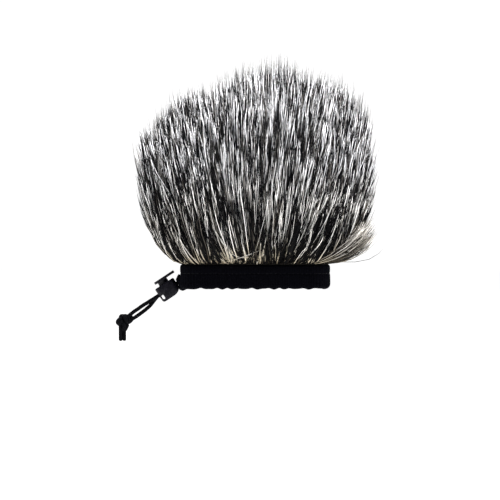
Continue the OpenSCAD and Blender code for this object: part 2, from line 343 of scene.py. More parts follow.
def sweep(name, line, radii, sides, braid=0.0):
    """A closed round tube along a line, with a braid of the given height on it, and a map along it."""
    across, upward = steady_frames(line)
    gone = gone_along(line)
    turn = np.linspace(0, 2 * math.pi, sides, endpoint=False)
    one_way = YARNS * turn[None, :] / 2 + math.pi * gone[:, None] / YARN_PITCH
    other_way = YARNS * turn[None, :] / 2 - math.pi * gone[:, None] / YARN_PITCH
    lift = np.sqrt(np.abs(np.sin(one_way) * np.sin(other_way)))
    radius = np.asarray(radii)[:, None] - braid + 2 * braid * lift
    ring = np.cos(turn)[None, :, None] * across[:, None] + np.sin(turn)[None, :, None] * upward[:, None]
    points = (line[:, None] + radius[:, :, None] * ring).reshape(-1, 3)
    faces = []
    for i in range(len(line) - 1):
        for j in range(sides):
            k = (j + 1) % sides
            faces.append((i * sides + j, i * sides + k, (i + 1) * sides + k, (i + 1) * sides + j))
    faces.append(tuple(range(sides))[::-1])
    faces.append(tuple((len(line) - 1) * sides + j for j in range(sides)))
    mesh = bpy.data.meshes.new(name)
    mesh.from_pydata(points.tolist(), [], faces)
    layer = mesh.uv_layers.new(name="cord_map")
    for face in mesh.polygons:
        is_side = len(face.vertices) == 4
        wraps = is_side and max(v % sides for v in face.vertices) == sides - 1
        for corner in face.loop_indices:
            i, j = divmod(mesh.loops[corner].vertex_index, sides)
            layer.data[corner].uv = ((j + sides * (wraps and j == 0)) / sides, gone[i] / MM)
        face.use_smooth = is_side
    return new_piece(name, mesh)


def braided_material():
    """Black braided yarn, with painted shade: dark in the gaps and a little lighter on its crowns."""
    material, tree, shader = new_material("black_braid", 0.75, 0.01)
    where = add_node(tree, "ShaderNodeUVMap", uv_map="cord_map")
    stretch = pattern(tree, "ShaderNodeMapping", where.outputs["UV"], in_Scale=(14, 6, 1))
    fibres = pattern(tree, "ShaderNodeTexNoise", stretch.outputs["Vector"], in_Scale=3.0, in_Detail=4.0)
    # The noise that lifts the yarn also sets its tone: painted shade in the gaps, lighter on the crowns.
    shades = [(0.25, (0.001, 0.001, 0.001)), (0.6, (0.003, 0.003, 0.004)), (0.9, (0.009, 0.009, 0.010))]
    colour_by(tree, shader, fibres.outputs["Fac"], shades)
    raise_surface(tree, shader, fibres.outputs["Fac"], 0.35, 0.00008)
    return material


black_braid = braided_material()
print("cord:", 2 * CORD_R / MM, "mm thick, a yarn crosses every", YARN_PITCH / MM, "mm")

# %% [markdown]
# ## The two strands
#
# One strand is drawn nearly straight and the other hangs below it in a slack bow. Their routes
# repeat the CAD's own points, measured from the swing's pivot: along the cord, across, and up.

# %% Lay the strands
SLOPE = math.radians(33.5)
ALONG = Vector((-math.cos(SLOPE), 0, -math.sin(SLOPE)))
ACROSS = Vector((0, -1, 0))
PRESS_UP = Vector((-math.sin(SLOPE), 0, math.cos(SLOPE)))
UPPER_ROUTE = [
    (-1.6, 1.08, 0), (0.3, 1.08, 0), (3, 1.08, 0), (6, 1.08, 0), (9, 1.08, 0), (12, 1.08, 0),
    (14, 1.08, 0), (16, 1.0, 0), (18, 0.9, 0.1), (20, 0.8, 0.1), (22, 0.7, 0.2), (24, 0.6, 0.2),
    (26, 0.5, 0.1), (28, 0.4, 0.1), (30, 0.3, 0), (32, 0.2, -0.2), (33.2, 0.2, -0.4),
]
LOWER_ROUTE = [
    (-1.6, -1.08, 0), (0.3, -1.08, 0), (3, -1.08, 0), (6, -1.08, 0), (9, -1.08, 0), (12, -1.08, 0),
    (14, -1.08, -0.2), (16, -1.1, -0.8), (18, -1.1, -1.5), (20, -1.0, -2.1), (22, -0.9, -2.4),
    (24, -0.8, -2.6), (26, -0.6, -2.7), (28, -0.4, -2.8), (30, -0.3, -2.8), (32, -0.2, -2.7),
    (33.2, -0.2, -2.6),
]


def from_pivot(point):
    """A place given along, across and up from the swing's pivot, in millimetres."""
    along, across, up = point
    return PIVOT + MM * (along * ALONG + across * ACROSS + up * PRESS_UP)


strands = {}
for name, route in (("drawcord_strand_upper", UPPER_ROUTE), ("drawcord_strand_lower", LOWER_ROUTE)):
    line = rounded([from_pivot(p) for p in route], 0.25 * MM)
    strand = sweep("braided_" + name, line, np.full(len(line), CORD_R), 20, BRAID)
    keep(strand, "braided_" + name, black_braid, None, [name])
    strands[name] = (strand, line)
    print(name, "is", round(gone_along(line)[-1] / MM, 1), "mm long")

# %% [markdown]
# ## The knot
#
# The two strands are tied together in one overhand knot. An overhand knot is a trefoil with one
# of its three leaves cut open, so the doubled cord follows that curve, comes in from the lock
# and leaves downwards. Both cords of the pair are swept beside the same middle line, and joined.

# %% Tie the knot
KNOT = from_pivot((35.8, 0, -1.8))
LEAF = 1.0 * MM
KNOT_DEPTH = 1.8 * MM
KNOT_TALL = 1.3
OPEN_LEAF = 0.7
KNOT_TURNED = math.radians(-62)
PAIR_HALF_GAP = 0.92 * MM


def trefoil(t):
    """A point of the trefoil in the knot's own plane, its open leaf towards the bottom."""
    return Vector((
        LEAF * (math.sin(t) + 2 * math.sin(2 * t)),
        KNOT_DEPTH * -math.sin(3 * t),
        KNOT_TALL * LEAF * (math.cos(t) - 2 * math.cos(2 * t)),
    ))


facing = Matrix.Rotation(KNOT_TURNED, 3, "Y")
way_in = np.array(-ALONG)
way_out = np.array((-0.12, 0, -0.99))
leaf_turns = np.linspace(math.pi + OPEN_LEAF, 3 * math.pi - OPEN_LEAF, 26)
curl = [np.array(facing @ trefoil(t)) for t in leaf_turns]
if curl[0] @ way_in < curl[-1] @ way_in:
    curl = curl[::-1]
knot_route = [way_in * 4.6 * MM, *curl, way_out * 4.4 * MM]
knot_middle = rounded([np.array(KNOT) + p for p in knot_route], 0.3 * MM)
across, upward = steady_frames(knot_middle)
clear_selection()
for side in (-1, 1):
    line = knot_middle + side * PAIR_HALF_GAP * (0.8 * across + 0.6 * upward)
    tied = sweep("tied_cord", line, np.full(len(line), CORD_R * 0.98), 16, BRAID)
    tied.select_set(True)
bpy.context.view_layer.objects.active = tied
bpy.ops.object.join()
knot = keep(bpy.context.object, "overhand_knot", black_braid, "drawcord_tail", ["drawcord_knot"])

# %% [markdown]
# ## The cord's ends
#
# Two cut ends hang from the knot side by side. They are melted so that the braid can't fray: their last
# rings draw in to a blunt tip.

END_LENGTH = 10.4 * MM
END_START = 2 * MM
MELTED = 0.7
for side, name in ((-1, "drawcord_end_front"), (1, "drawcord_end_rear")):
    top = KNOT + Vector((side * 0.95 * MM - 1.4 * MM, side * 0.5 * MM, -END_START))
    drop = Vector((0, 0, END_START - END_LENGTH))
    line = rounded([top + drop * share for share in (0, 0.3, 0.6, 1)], 0.2 * MM)
    left = np.linalg.norm(line - line[-1], axis=1) / MM
    blunt = np.sqrt(np.clip(1 - (1 - left / MELTED) ** 2, 0.12, 1))
    end = sweep("braided_" + name, line, CORD_R * np.where(left < MELTED, blunt, 1), 20, BRAID)
    keep(end, "braided_" + name, black_braid, "drawcord_tail", [name])

for name, (strand, line) in strands.items():
    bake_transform(strand)

# %% [markdown]
# ## The cord lock's mouldings
#
# The lock's body and its plunger have the right shapes in the CAD, but a moulding has no
# knife-sharp edges. Each is copied, its loose triangles are merged and its flat faces joined,
# and a Bevel modifier breaks its edges. The nylon is dark, with a fine grain and faint scuffs.

# %% Soften the mouldings
def plastic_material():
    """Dark violet-grey nylon: a fine moulded grain, a soft gloss and faint scuffs."""
    material, tree, shader = new_material("moulded_nylon", 0.4, 0.08)
    where = add_node(tree, "ShaderNodeTexCoord").outputs["Object"]
    grain = pattern(tree, "ShaderNodeTexNoise", where, in_Scale=2600.0, in_Detail=3.0)
    scuff = pattern(tree, "ShaderNodeTexNoise", where, in_Scale=420.0, in_Detail=6.0, in_Distortion=1.5)
    tones = [(0.35, (0.0015, 0.0015, 0.003)), (0.62, (0.004, 0.0035, 0.006)), (0.75, (0.010, 0.009, 0.014))]
    colour_by(tree, shader, scuff.outputs["Fac"], tones)
    gloss = add_node(tree, "ShaderNodeMapRange", in_To_Min=0.30, in_To_Max=0.52)
    tree.links.new(scuff.outputs["Fac"], gloss.inputs["Value"])
    tree.links.new(gloss.outputs["Result"], shader.inputs["Roughness"])
    raise_surface(tree, shader, grain.outputs["Fac"], 0.25, 0.00003)
    return material


def softened_copy(node, edge):
    """A copy of a CAD node with merged points, joined flat faces and broken edges."""
    clear_selection()
    copy = bpy.data.objects[node].copy()
    copy.data = bpy.data.objects[node].data.copy()
    for key in list(copy.keys()):
        del copy[key]
    copy.parent = None
    bpy.context.scene.collection.objects.link(copy)
    copy.hide_set(False)
    copy.hide_render = False
    copy.select_set(True)
    bpy.context.view_layer.objects.active = copy
    edit_all()
    bpy.ops.mesh.remove_doubles(threshold=0.005 * MM)
    bpy.ops.mesh.dissolve_limited(angle_limit=math.radians(1))
    leave_edit()
    finish_with(copy, "BEVEL", width=edge, segments=2, limit_method="ANGLE", angle_limit=math.radians(32))
    bpy.ops.object.shade_smooth_by_angle(angle=math.radians(40))
    return copy


nylon = plastic_material()
BROKEN_EDGE = 0.18 * MM
for node, name, body in (("cord_lock_body", "lock_moulded_body", "cord_lock"),
                         ("cord_lock_plunger", "lock_moulded_plunger", "lock_plunger")):
    keep(softened_copy(node, BROKEN_EDGE), name, nylon, body, [node])

# %% [markdown]
# ## The cord lock's spring
#
# Under the plunger sits a conical spring of round steel wire, so that its turns nest when it is pressed
# flat. Its wire is swept along a cone of three turns.

# %% Wind the spring
LOCK_MIDDLE = 6.8
SPRING_FOOT, SPRING_HEAD, SPRING_TURNS, WIRE_R = -3.77, -2.13, 3, 0.2
FOOT_WIDE, HEAD_WIDE = 2.5, 1.2
COIL_STEPS = 72


def steel_material():
    """Drawn spring wire, bright with fine lengthwise marks."""
    material, tree, shader = new_material("drawn_wire", 0.28, 0.5)
    shader.inputs["Metallic"].default_value = 1
    where = add_node(tree, "ShaderNodeUVMap", uv_map="cord_map")
    stretch = pattern(tree, "ShaderNodeMapping", where.outputs["UV"], in_Scale=(40, 1.5, 1))
    marks = pattern(tree, "ShaderNodeTexNoise", stretch.outputs["Vector"], in_Scale=4.0, in_Detail=4.0)
    tones = [(0.3, (0.38, 0.38, 0.39)), (0.7, (0.68, 0.68, 0.70))]
    colour_by(tree, shader, marks.outputs["Fac"], tones)
    raise_surface(tree, shader, marks.outputs["Fac"], 0.2, 0.00002)
    return material


coil = []
for step in range(COIL_STEPS + 1):
    share = step / COIL_STEPS
    angle = 2 * math.pi * SPRING_TURNS * share
    wide = FOOT_WIDE + (HEAD_WIDE - FOOT_WIDE) * share
    height = SPRING_FOOT + (SPRING_HEAD - SPRING_FOOT) * share
    coil.append(from_pivot((LOCK_MIDDLE + wide * math.cos(angle), wide * math.sin(angle), height)))
coil_line = rounded(coil, 0.3 * MM)
spring = sweep("conical_spring", coil_line, np.full(len(coil_line), WIRE_R * MM), 8)
keep(spring, "conical_spring", steel_material(), "cord_lock", ["cord_lock_spring"])
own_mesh(spring)

# %% [markdown]
# ## The drawcord inside the cuff
#
# The cord goes in through the exit sleeve, lies once round the channel in the hem, and comes
# out again beside itself. Hardly any of it shows, so it gets the same sweep with fewer sides.
# Only the front half is placed, and the back half is its mirror image.

# %% Lay the loop
CHANNEL_MIDDLE = 2.25 * MM
CHANNEL_Z = 4.7 * MM


def channel_points():
    """The loop's points: in at the exit, round the channel, and out again."""
    half = [from_pivot(p) for p in ((-0.3, -1.08, 0), (-2.2, -1.1, 0), (-3.3, -1.5, 0.1))]
    for x, y, z in ((0.3, 3.2, 5.9), (0, 5.5, 5.4), (0, 8.5, 4.9)):
        half.append(Vector((CHANNEL_MIDDLE - cuff_high.x + x * MM, y * MM, z * MM)))
    corner_x, corner_y = MOUTH_HALF_W - MOUTH_R, MOUTH_HALF_D - MOUTH_R
    radius = MOUTH_R + CHANNEL_MIDDLE
    for side, start in ((-1, 180), (1, 270)):
        for turn in np.radians(np.arange(start, start + 91, 22.5)):
            x = side * corner_x + radius * math.cos(turn)
            half.append(Vector((x, -corner_y + radius * math.sin(turn), CHANNEL_Z)))
    front = [Vector((p.x, -abs(p.y), p.z)) for p in half]
    back = [Vector((p.x, abs(p.y), p.z)) for p in half]
    return front + back[::-1]


loop_line = rounded(channel_points(), 0.5 * MM)
loop = sweep("drawcord_in_channel", loop_line, np.full(len(loop_line), CORD_R), 12, BRAID)
keep(loop, "drawcord_in_channel", black_braid, replaces=["drawcord_loop"])

# %% [markdown]
# ## A line round the mouth
#
# The cuff is a ring, and it is folded from a line of edges that runs round the mouth's wall. The
# line is a plane with bevelled corners that has lost its face, cut into short edges. Two more
# helpers tell which way is out at a place, and how far along the line it lies.

# %% Draw round the mouth
MOUTH_CORE = Vector((MOUTH_HALF_W - MOUTH_R, MOUTH_HALF_D - MOUTH_R))
MOUTH_ROUND = (4 * (MOUTH_CORE.x + MOUTH_CORE.y) + 2 * math.pi * MOUTH_R) / MM


def mouth_line(cell):
    """A closed line of edges round the mouth's wall, selected in edit mode."""
    clear_selection()
    bpy.ops.mesh.primitive_plane_add(size=1)
    line = bpy.context.object
    for vertex in line.data.vertices:
        vertex.co.x = math.copysign(MOUTH_HALF_W, vertex.co.x)
        vertex.co.y = math.copysign(MOUTH_HALF_D, vertex.co.y)
    edit_all()
    bpy.ops.mesh.bevel(offset=MOUTH_R, segments=8, affect="VERTICES")
    bpy.ops.mesh.delete(type="ONLY_FACE")
    for _ in range(7):
        select_in_edit(line, "EDGE", longer_than(1.5 * cell))
        bpy.ops.mesh.subdivide(number_cuts=1)
    bpy.ops.mesh.select_all(action="SELECT")
    return line


def core_of(point):
    """The nearest place on the rectangle between the mouth's corner centres."""
    return Vector((max(-half, min(half, place)) for half, place in zip(MOUTH_CORE, point.xy)))


def outward(point):
    """The direction straight out from the mouth's wall."""
    return (point.xy - core_of(point)).normalized()


def mouth_gone(point):
    """How far a place on the mouth's wall is along it, in millimetres, from the front's middle."""
    out, core = outward(point), core_of(point)
    quarter = MOUTH_CORE.x + MOUTH_CORE.y
    arc = MOUTH_R * (math.atan2(out.x, -out.y) % (2 * math.pi))
    if abs(out.x) > 1e-6:
        return ((quarter + core.y if out.x > 0 else 3 * quarter - core.y) + arc) / MM
    if out.y > 0:
        return (2 * quarter - core.x + arc) / MM
    return core.x / MM if core.x >= 0 else core.x / MM + MOUTH_ROUND


print("the mouth is", round(MOUTH_ROUND, 1), "mm round")

# %% [markdown]
# ## The cuff's folded cloth
#
# The cuff is a strip of stretch knit folded in half lengthwise round the drawcord, with both
# raw edges inside the join. Extruding the line round the mouth gives a plain band, one ring for
# each place in the fold, and moving each ring in or out, up or down folds the band. The cord
# draws the hem in, so its lower edge hangs in small scallops that die out below the stitching.

# %% Fold the cuff
HEM_DRAWN_UP = 1.4
SCALLOP = 0.62
HEM_REACH = 3.6
CORD_HEIGHT = 4.5
RIPPLE_REACH = 5.5
OUTER_RINGS = 10
FOLD = [  # distance from the mouth's wall and height, in millimetres
    (1.5, 13.45), (0.85, 13.5), (0.5, 13.1), (0.48, 11.5), (0.48, 9.4), (0.48, 7.0), (0.48, 4.5), (0.5, 2.4),
    (0.72, 1.35), (1.35, 0.72), (2.25, 0.5), (3.1, 0.7), (3.72, 1.35), (3.98, 2.4), (4.02, 3.6), (4.02, 4.9),
    (4.02, 6.2), (4.02, 7.5), (4.0, 8.5), (3.9, 9.0), (3.66, 9.4), (3.9, 9.8), (4.0, 10.3), (4.02, 11.4),
    (4.02, 12.6), (3.95, 13.2), (3.6, 13.55), (3.0, 13.6), (2.3, 13.45),
]


def hem_wave(place):
    """The hem's scallops: an uneven wave along the front, back and sides, from -1 to 1."""
    t = (place.x + place.y) / MM
    return 0.62 * math.sin(t * 0.93 + 1.1 * math.sin(t * 0.21)) + 0.38 * math.sin(t * 1.37 + 1.9)


def folded(place, ring):
    """Where a place on the band's ring goes in the fold, ripples and scallops with it."""
    out, height = FOLD[ring]
    away, wave = outward(place), hem_wave(place)
    if ring > OUTER_RINGS:
        drawn = max(0.0, 1 - abs(height - CORD_HEIGHT) / RIPPLE_REACH)
        out += drawn * (0.16 * wave + 0.10 * math.sin((place.x - place.y) / MM * 0.71))
    height += max(0.0, 1 - height / HEM_REACH) * (HEM_DRAWN_UP + SCALLOP * wave)
    return Vector((place.x + away.x * out * MM, place.y + away.y * out * MM, height * MM))


casing = mouth_line(0.9 * MM)
for _ in FOLD[1:]:
    bpy.ops.mesh.extrude_edges_move(TRANSFORM_OT_translate={"value": (0, 0, 1)})
leave_edit()
band_places = [v.co.copy() for v in casing.data.vertices]
for vertex, place in zip(casing.data.vertices, band_places):
    vertex.co = folded(place, round(place.z))
turn_outwards()
print("folded band:", len(FOLD), "rings,", len(band_places), "points")

# %% [markdown]
# ## The knit
#
# Seen closely, the cuff is a weft knit: rows of small Vs. A map in millimetres along and across the strip
# lets two ping-pong waves draw them, one slanted by the other, and it leaves no seam. The same waves darken
# the gaps between the loops as painted shade.
# The cloth's thickness comes from Solidify, and Subdivision rounds the folds.

# %% Knit the cuff's cloth
CLOTH_T = 0.95 * MM


def maths(tree, kind, *values):
    """The result of a sum on numbers and sockets."""
    node = add_node(tree, "ShaderNodeMath", operation=kind)
    for socket, value in zip(node.inputs, values):
        if isinstance(value, (int, float)):
            socket.default_value = value
        else:
            tree.links.new(value, socket)
    return node.outputs[0]


def knit_material(name, low, high, wale, course, sheen):
    """Weft knit from the cloth map in millimetres: rows of small Vs with painted shade in the gaps between
    loops, fuzz and a soft sheen.
    """
    material, tree, shader = new_material(name, 0.8, 0.005)
    where = add_node(tree, "ShaderNodeUVMap", uv_map="cloth_map").outputs["UV"]
    split = pattern(tree, "ShaderNodeSeparateXYZ", where)
    rib = maths(tree, "PINGPONG", split.outputs["X"], wale / 2)
    slanted = maths(tree, "MULTIPLY_ADD", rib, 1.3, split.outputs["Y"])
    row = maths(tree, "PINGPONG", slanted, course / 2)
    rounded_rib = maths(tree, "POWER", maths(tree, "MULTIPLY", rib, 2 / wale), 0.6)
    loops = maths(tree, "MULTIPLY", maths(tree, "MULTIPLY", row, 2 / course), rounded_rib)
    fuzz = pattern(tree, "ShaderNodeTexNoise", where, in_Scale=3.2, in_Detail=5.0)
    height = maths(tree, "MULTIPLY_ADD", fuzz.outputs["Fac"], 0.6, loops)
    # The same height that lifts the loops sets the tone: the low gaps get painted shade.
    colour_by(tree, shader, height, [(0.25, low), (1.0, high)])
    raise_surface(tree, shader, height, 0.7, 0.00015)
    shader.inputs["Sheen Weight"].default_value = sheen
    shader.inputs["Sheen Roughness"].default_value = 0.45
    shader.inputs["Sheen Tint"].default_value = (0.55, 0.60, 0.85, 1)
    return material


def map_cloth(piece, along, up, wrap=None):
    """A cloth map in millimetres from two measures of each point, with no seam where it wraps."""
    layer = piece.data.uv_layers.new(name="cloth_map")
    for face in piece.data.polygons:
        high = max(along[i] for i in face.vertices)
        for corner, i in zip(face.loop_indices, face.vertices):
            behind = wrap and high - along[i] > wrap / 2
            layer.data[corner].uv = (along[i] + wrap if behind else along[i], up[i])


across_fold = gone_along(np.array(FOLD))
along_mouth = [mouth_gone(p) for p in band_places]
map_cloth(casing, along_mouth, [across_fold[round(p.z)] for p in band_places], MOUTH_ROUND)
finish_with(casing, "SOLIDIFY", thickness=CLOTH_T, offset=0)
finish_with(casing, "SUBSURF", levels=1, render_levels=1)
bpy.ops.object.shade_smooth()
# The cuff's gap tone is painted shade between the black loops.
BLACK_GAP_SHADE, BLACK_LOOPS = (0.0002, 0.0002, 0.0003), (0.0022, 0.0022, 0.0036)
black_knit = knit_material("black_stretch_knit", BLACK_GAP_SHADE, BLACK_LOOPS, 0.9, 0.7, 0.003)
keep(casing, "cuff_folded_knit", black_knit, replaces=["cuff_casing"])

# %% [markdown]
# ## The mouth that the cords leave by
#
# Where the cords come out, the casing's cloth is bunched into a short puckered sleeve with its lip turned
# in. It is a circle extruded nine times; its rings are wide where they leave the cuff, tight at the lip, and
# reach furthest along the cords' underside.

# %% Bunch the exit sleeve
SLEEVE = [  # along the cords, half width across, half height, and shift up, in millimetres
    (-2.8, 4.6, 5.2, -0.6), (-1.9, 4.5, 4.7, -0.6), (-1.2, 4.2, 4.1, -0.6), (-0.6, 3.9, 3.6, -0.6),
    (-0.1, 3.6, 3.2, -0.6), (0.35, 3.3, 2.8, -0.5), (0.5, 2.9, 2.3, -0.4), (0.2, 2.5, 1.7, -0.1),
    (-1.0, 2.3, 1.3, 0.0), (-3.0, 2.2, 1.2, 0.0),
]
PUCKERS = 13
LIP_RING = 7
TOP_SHARE = 0.72
SLEEVE_GIRTH = 2 * math.pi * 3.5
clear_selection()
bpy.ops.mesh.primitive_circle_add(vertices=78, radius=1)
sleeve = bpy.context.object
edit_all()
for _ in SLEEVE[1:]:
    bpy.ops.mesh.extrude_edges_move(TRANSFORM_OT_translate={"value": (0, 0, 1)})
leave_edit()
sleeve_turns = [math.atan2(v.co.y, v.co.x) % (2 * math.pi) for v in sleeve.data.vertices]
sleeve_rings = [round(v.co.z) for v in sleeve.data.vertices]
for vertex, turn, ring in zip(sleeve.data.vertices, sleeve_turns, sleeve_rings):
    along, wide, high, shift = SLEEVE[ring]
    pucker = 1 + 0.05 * math.sin(PUCKERS * turn + 0.7 * math.sin(2 * turn)) * (0 < ring < LIP_RING)
    is_top = turn < math.pi
    up = high * math.sin(turn) * pucker * (TOP_SHARE if is_top else 1) + (0 if is_top else shift)
    under = 0.5 * max(0.0, -up - 0.6) * (along > -2)
    vertex.co = from_pivot((along + under, wide * math.cos(turn) * pucker, up))
turn_outwards()
round_sleeve = [t / (2 * math.pi) * SLEEVE_GIRTH for t in sleeve_turns]
map_cloth(sleeve, round_sleeve, [float(r) for r in sleeve_rings], SLEEVE_GIRTH)
finish_with(sleeve, "SOLIDIFY", thickness=0.5 * MM, offset=-1)
finish_with(sleeve, "SUBSURF", levels=1, render_levels=1)
bpy.ops.object.shade_smooth()
keep(sleeve, "cuff_exit_sleeve", black_knit, None)
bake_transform(sleeve)

# %% [markdown]
# ## One stitch, modelled once
#
# Every seam is made of the same small thing: a bit of thread that rises out of the cloth, runs
# over it and goes back in. One stitch is modelled from a six-sided cylinder, cut across at three
# places so that it can arch, and all the seams are copies of it, placed along their lines.

# %% Model the stitch
STITCH_CUTS = (-0.3, 0.0, 0.3)
clear_selection()
bpy.ops.mesh.primitive_cylinder_add(vertices=6, radius=0.5, depth=1)
stitch = bpy.context.object
bpy.ops.object.mode_set(mode="EDIT")
for height in STITCH_CUTS:
    bpy.ops.mesh.select_all(action="SELECT")
    bpy.ops.mesh.bisect(plane_co=(0, 0, height), plane_no=(0, 0, 1))
leave_edit()
for vertex in stitch.data.vertices:
    thinner = 1 - 1.5 * vertex.co.z**2
    arch = 0.9 * (0.25 - vertex.co.z**2) - 0.1
    vertex.co.x *= thinner
    vertex.co.y = vertex.co.y * thinner + arch
stitch_points = np.array([v.co for v in stitch.data.vertices])
stitch_faces = [tuple(f.vertices) for f in stitch.data.polygons]
bpy.data.objects.remove(stitch)
print("one stitch:", len(stitch_points), "points")

# %% [markdown]
# ## Sewing with it
#
# A seam is a list of places: a stitch's middle, the way it runs, the way out of the cloth, and
# its length. One mesh holds all the copies, because nothing in a seam moves on its own.

# %% Sew along a line
def thread_material():
    """Spun polyester thread: twisted plies, with painted shade between them."""
    material, tree, shader = new_material("black_thread", 0.55, 0.06)
    where = add_node(tree, "ShaderNodeTexCoord").outputs["Object"]
    plies = pattern(tree, "ShaderNodeTexWave", where, wave_type="BANDS", bands_direction="DIAGONAL",
                    in_Scale=900.0, in_Distortion=2.0)
    fluff = pattern(tree, "ShaderNodeTexNoise", where, in_Scale=1800.0, in_Detail=3.0)
    twist = maths(tree, "MULTIPLY", plies.outputs["Fac"], fluff.outputs["Fac"])
    # The ply pattern that lifts the thread also darkens it between the plies: painted shade.
    tones = [(0.1, (0.0006, 0.0006, 0.001)), (0.6, (0.004, 0.004, 0.0055))]
    colour_by(tree, shader, twist, tones)
    raise_surface(tree, shader, twist, 0.4, 0.00005)
    return material


black_thread = thread_material()


def sew(name, places, thick, replaces):
    """A seam of stitches, each given by its middle, its direction, the way out and its length."""
    points = []
    for middle, ahead, out, length in places:
        ahead = unit(np.array(ahead))
        out = np.array(out)
        out = unit(out - ahead * (out @ ahead))
        turned = np.array([thick * np.cross(out, ahead), thick * out, length * ahead])
        points.append(np.array(middle) + stitch_points @ turned)
    size = len(stitch_points)
    faces = [tuple(i + k * size for i in face) for k in range(len(points)) for face in stitch_faces]
    mesh = bpy.data.meshes.new(name)
    mesh.from_pydata(np.concatenate(points).tolist(), [], faces)
    mesh.shade_smooth()
    return keep(new_piece(name, mesh), name, black_thread, "hood", replaces)


def round_mouth(out, pitch):
    """Even places round the mouth at a distance from its wall: middle, direction and way out of each."""
    line = []
    for x, y, start in ((1, -1, -90), (1, 1, 0), (-1, 1, 90), (-1, -1, 180)):
        for turn in np.radians(np.linspace(start, start + 90, 24)):
            line.append((x * MOUTH_CORE.x + (MOUTH_R + out) * math.cos(turn),
                         y * MOUTH_CORE.y + (MOUTH_R + out) * math.sin(turn), 0))
    line = np.array(line + line[:1])
    gone = gone_along(line)
    count = round(gone[-1] / pitch)
    middles = cut_at(line, gone, (np.arange(count) + 0.5) * gone[-1] / count)
    outs = np.array([(*outward(Vector(m)), 0) for m in middles])
    return list(zip(middles, np.cross((0, 0, 1), outs), outs))

# %% [markdown]
# ## The cuff's seams
#
# Four seams hold the cuff: a line of running stitches closes the cord's channel, slanted pairs
# overlock the join to the fur, two short rows close the strip into a ring at the end away from
# the cord, and satin stitches bind the cord's exit in an oval.

# %% Sew the cuff's seams
CHANNEL_LINE = 9.4 * MM
sew("cuff_channel_stitches", [
    (middle + [0, 0, CHANNEL_LINE], ahead, out, 1.9 * MM)
    for middle, ahead, out in round_mouth(CUFF_T - 0.42 * MM, 2.3 * MM)
], 0.42 * MM, ["cuff_channel_stitching"])

SEAM_TOP = 14.55 * MM
OVERLOCK_LEAN = 0.30
sew("cuff_overlock_stitches", [
    (middle + [0, 0, SEAM_TOP + 0.1 * MM * side], out + side * OVERLOCK_LEAN * ahead, (0, 0, 1), 2.6 * MM)
    for middle, ahead, out in round_mouth(1.5 * MM, 1.5 * MM) for side in (-1, 1)
], 0.4 * MM, ["cuff_join_overlock"])

RING_X, RING_HALF_GAP, RING_SLANT = cuff_high.x - 0.05 * MM, 0.6 * MM, 0.35
RING_HEIGHTS = (3.4, 5.2, 7.0, 8.5, 10.4, 12.0)
sew("cuff_ring_stitches", [
    ((RING_X, side * RING_HALF_GAP, z * MM), (0, side * RING_SLANT, 1), (1, 0, 0), 1.5 * MM)
    for side in (-1, 1) for z in RING_HEIGHTS
], 0.4 * MM, ["cuff_ring_seam"])

EXIT_MIDDLE = np.array((-cuff_high.x - 0.05 * MM, 0, PIVOT.z + 1.4 * MM * math.tan(SLOPE)))
EXIT_HALF_W, EXIT_HALF_H = 4.5 * MM, 3.1 * MM
EXIT_LOWEST = 2.2 * MM
exit_places = []
for turn in np.linspace(0, 2 * math.pi, 40, endpoint=False):
    away = np.array((0, math.cos(turn), math.sin(turn)))
    place = EXIT_MIDDLE + away * [0, EXIT_HALF_W, EXIT_HALF_H]
    if place[2] > EXIT_LOWEST:
        exit_places.append((place, away + [0.12, 0, 0], (-1, 0, 0), 1.3 * MM))
sew("cord_exit_stitches", exit_places, 0.36 * MM, ["cord_exit_stitching"])

# %% [markdown]
# ## Floor, backdrop and light
#
# The windscreen is worn high on a recorder, so the floor lies well below it. Everything round
# it is white, and large soft lights from above and from both sides shape the fur. The surround
# looks white in the picture but lights the object only a little, so that its blacks stay black.

# %% Make the stage
FLOOR_Z = -0.16
clear_selection()
bpy.ops.mesh.primitive_plane_add(size=12, location=(0, 0, FLOOR_Z))
floor = bpy.context.object
floor.name = "floor"
floor_material, floor_tree, floor_shader = new_material("pale_floor", 0.9, 0.5)
floor_shader.inputs["Base Color"].default_value = (0.9, 0.9, 0.9, 1)
floor_shader.inputs["Emission Color"].default_value = (1, 1, 1, 1)
floor.data.materials.append(floor_material)

scene = bpy.context.scene
if scene.world is None:
    scene.world = bpy.data.worlds.new("studio")
scene.world.use_nodes = True
backdrop = scene.world.node_tree.nodes["Background"]
backdrop.inputs["Color"].default_value = (1, 1, 1, 1)


def white_when_seen(tree, socket, lighting, shown):
    """Let a white surround shine with one strength on the object and another in the picture."""
    seen = add_node(tree, "ShaderNodeLightPath")
    strength = add_node(tree, "ShaderNodeMapRange", in_To_Min=lighting, in_To_Max=shown)
    tree.links.new(seen.outputs["Is Camera Ray"], strength.inputs["Value"])
    tree.links.new(strength.outputs["Result"], socket)


scene.view_settings.view_transform = "Standard"
white_when_seen(scene.world.node_tree, backdrop.inputs["Strength"], lighting=0.09, shown=1.05)
white_when_seen(floor_tree, floor_shader.inputs["Emission Strength"], lighting=0.03, shown=0.92)


def soft_light(name, place, size, power):
    """A square area light that faces the hood."""
    data = bpy.data.lights.new(name, "AREA")
    data.size = size
    data.energy = power
    light = new_piece(name, data)
    light.location = place
    light.rotation_euler = (Vector((0, 0, 0.05)) - light.location).to_track_quat("-Z", "Y").to_euler()


soft_light("key", (0.14, -0.38, 1.17), 0.28, 46)
soft_light("fill", (0.9, -0.4, 0.3), 0.6, 7)
soft_light("left_fill", (-0.85, -0.2, 0.45), 0.5, 7)
soft_light("rim", (0.2, 0.6, 0.95), 0.6, 26)

# %% [markdown]
# ## The pocket's shells
#
# The foam liner and the fur's backing are two shells round the same pocket, one over the other.
# A cube at the pocket's size has its upright and upper edges bevelled and its bottom taken off,
# and its long edges are cut until the triangles are even. It is then cut in half by its middle
# plane, because both layers are sewn from a front and a back.

# %% Model the pocket's shell
POCKET_TOP_R = 12 * MM
CELL = 2.2 * MM


